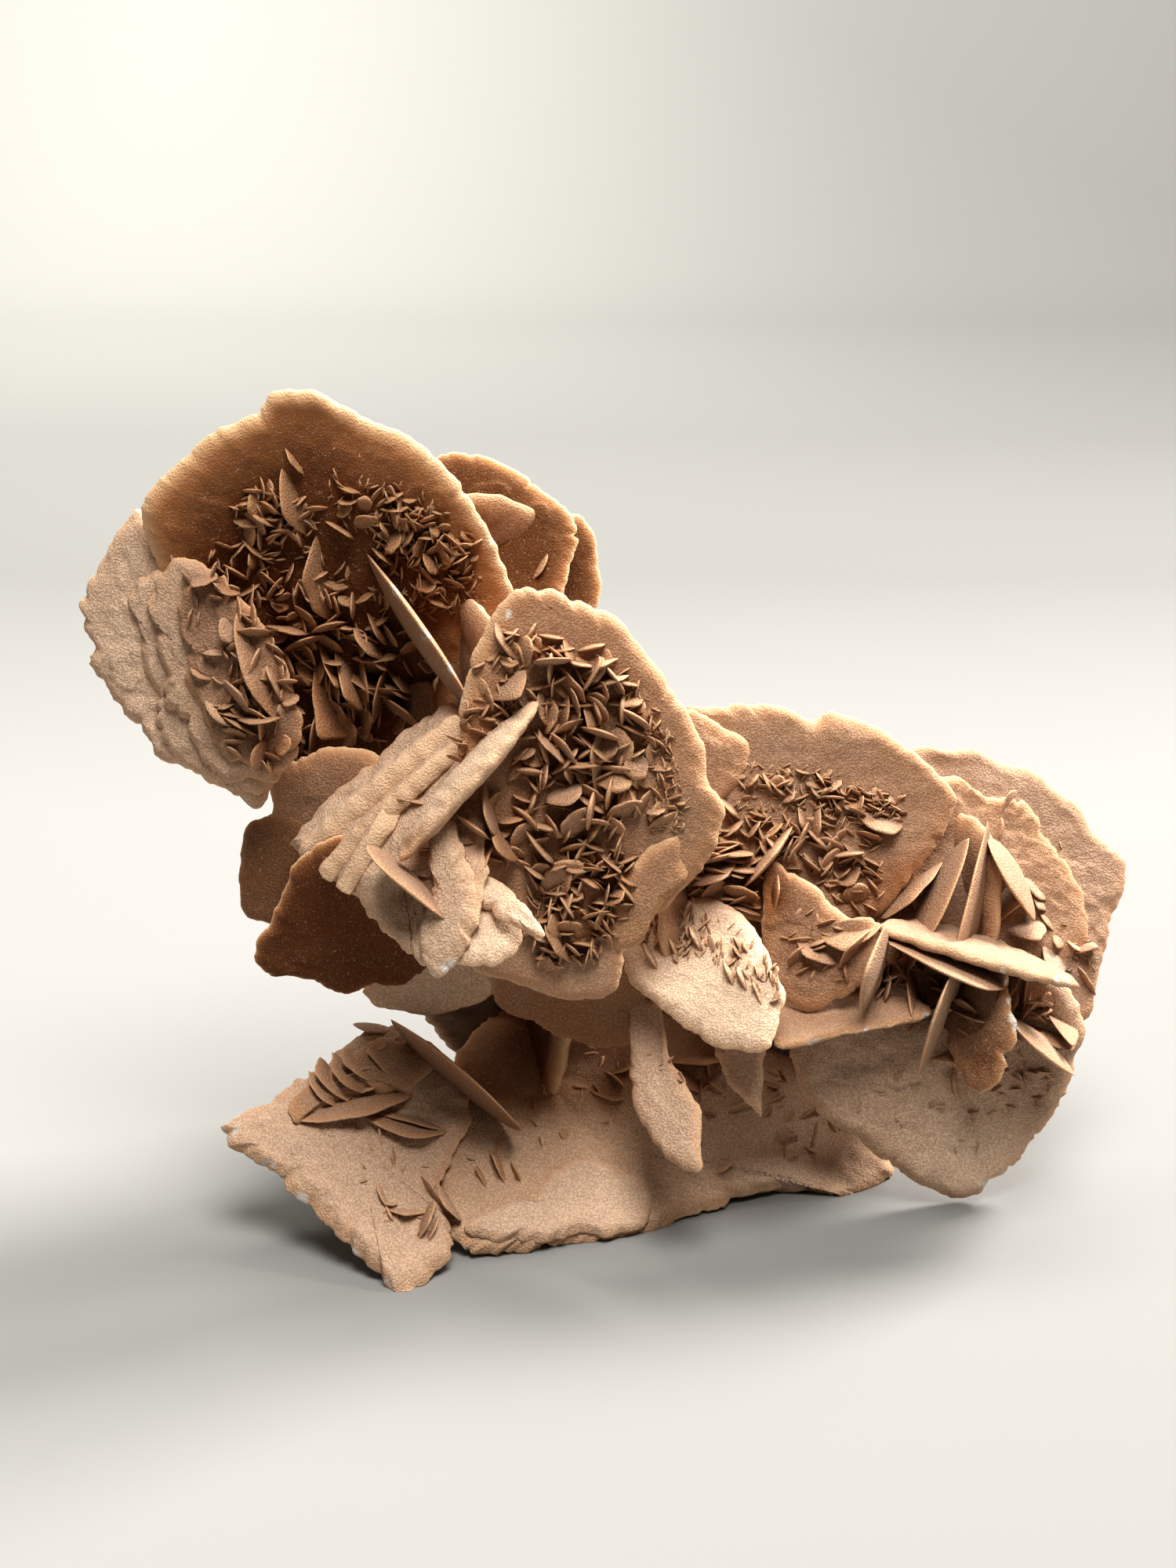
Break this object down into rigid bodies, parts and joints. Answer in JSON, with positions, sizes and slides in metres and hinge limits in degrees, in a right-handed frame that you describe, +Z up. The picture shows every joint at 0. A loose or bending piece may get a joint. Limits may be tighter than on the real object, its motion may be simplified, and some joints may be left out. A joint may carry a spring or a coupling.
{
  "type": "gypsum sand rose",
  "caption": "Desert rose of sandy gypsum: flat, rounded crystal plates grown through one another in rosettes, with small sharp blades standing on their faces.",
  "frame": {"origin": "centre of the bounding box's underside, on the surface that the cluster rests on", "axes": "+X along the cluster's longest extent, from its tall rosette to its low ones; +Y away from the face with the most blades; +Z up"},
  "size_m": [0.2324, 0.1219, 0.1802],
  "materials": {
    "gypsum": "matte, sandy"
  },
  "bodies": {
    "root": {"sand_rose": "gypsum"}
  },
  "joints": []
}
